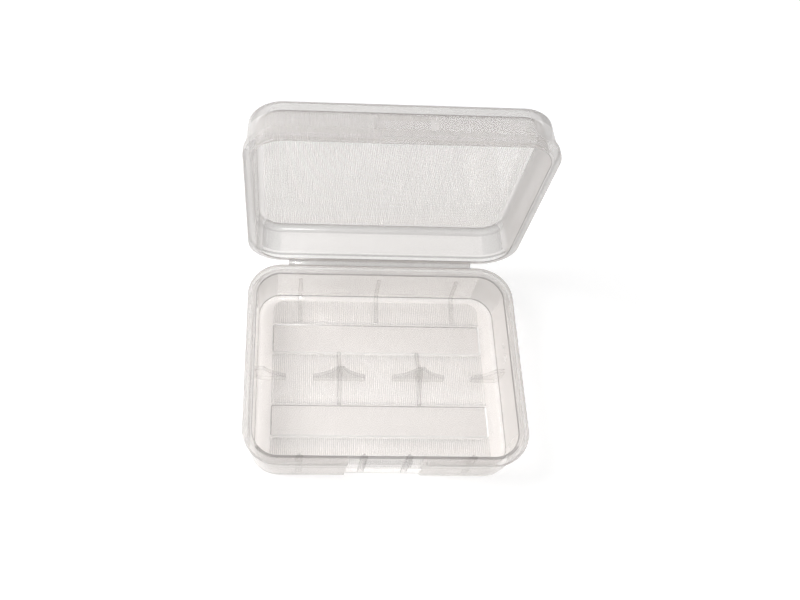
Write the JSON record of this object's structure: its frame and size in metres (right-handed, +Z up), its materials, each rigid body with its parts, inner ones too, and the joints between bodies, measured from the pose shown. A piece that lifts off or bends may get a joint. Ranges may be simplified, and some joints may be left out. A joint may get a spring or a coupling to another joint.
{
  "type": "battery storage box",
  "caption": "Translucent moulded plastic case with a hinged lid and cradles for round cells, snap latch at the front.",
  "frame": {"origin": "centre of the tray's flat underside", "axes": "+Z up, -Y towards the latch, +Y towards the hinge, +X to the right seen from the latch"},
  "size_m": [0.0944, 0.0872, 0.0942],
  "materials": {
    "clear_pp": "translucent moulded polypropylene, glossy outside, faintly reeded inside"
  },
  "bodies": {
    "tray": {"tray": "clear_pp", "hinge_film": "clear_pp"},
    "lid": {"lid": "clear_pp"}
  },
  "joints": [
    {"name": "lid_hinge", "type": "hinge", "parent": "tray", "child": "lid", "pos_m": [0, 0.0373, 0.0205], "axis": [-1, 0, 0], "range_deg": [-90, 90]}
  ]
}
